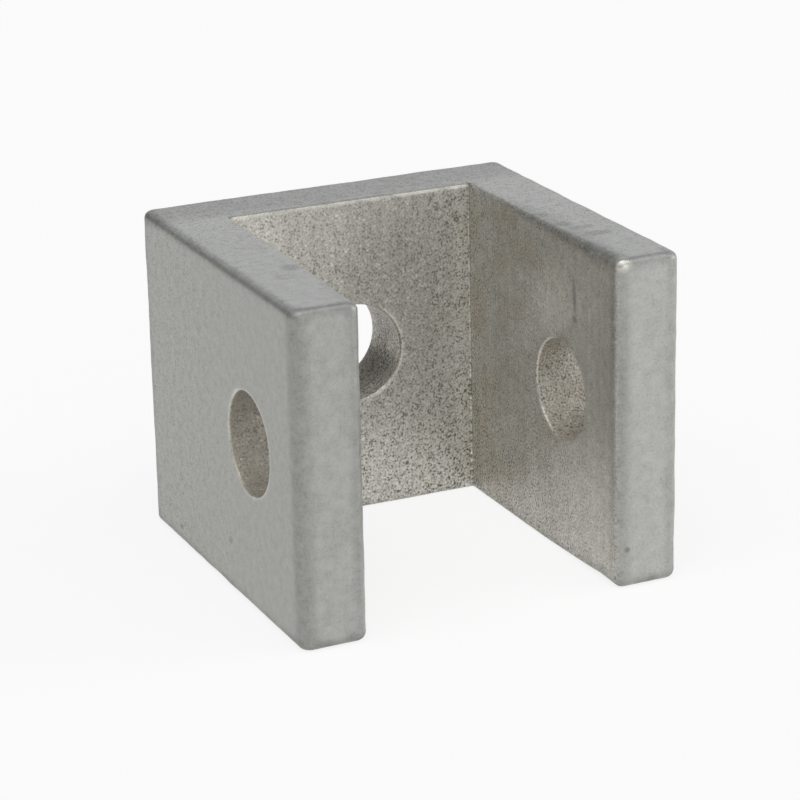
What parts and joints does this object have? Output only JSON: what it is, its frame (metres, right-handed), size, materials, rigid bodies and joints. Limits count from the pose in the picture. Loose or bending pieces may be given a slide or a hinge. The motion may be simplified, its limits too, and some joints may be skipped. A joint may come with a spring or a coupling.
{
  "type": "t-slot framing corner bracket",
  "caption": "Short length of thick U-channel with one round hole in the web and one in each leg, edges tumbled round, for bolting framing bars at a corner.",
  "frame": {"origin": "middle of the lower cut face's outline, on the surface that the bracket stands on", "axes": "+X across the web, +Y from the open front to the back of the web, +Z along the channel"},
  "size_m": [0.03, 0.0294, 0.025],
  "materials": {
    "tumbled_aluminium": "bare, tumbled matt"
  },
  "bodies": {
    "root": {"corner_bracket": "tumbled_aluminium"}
  },
  "joints": []
}
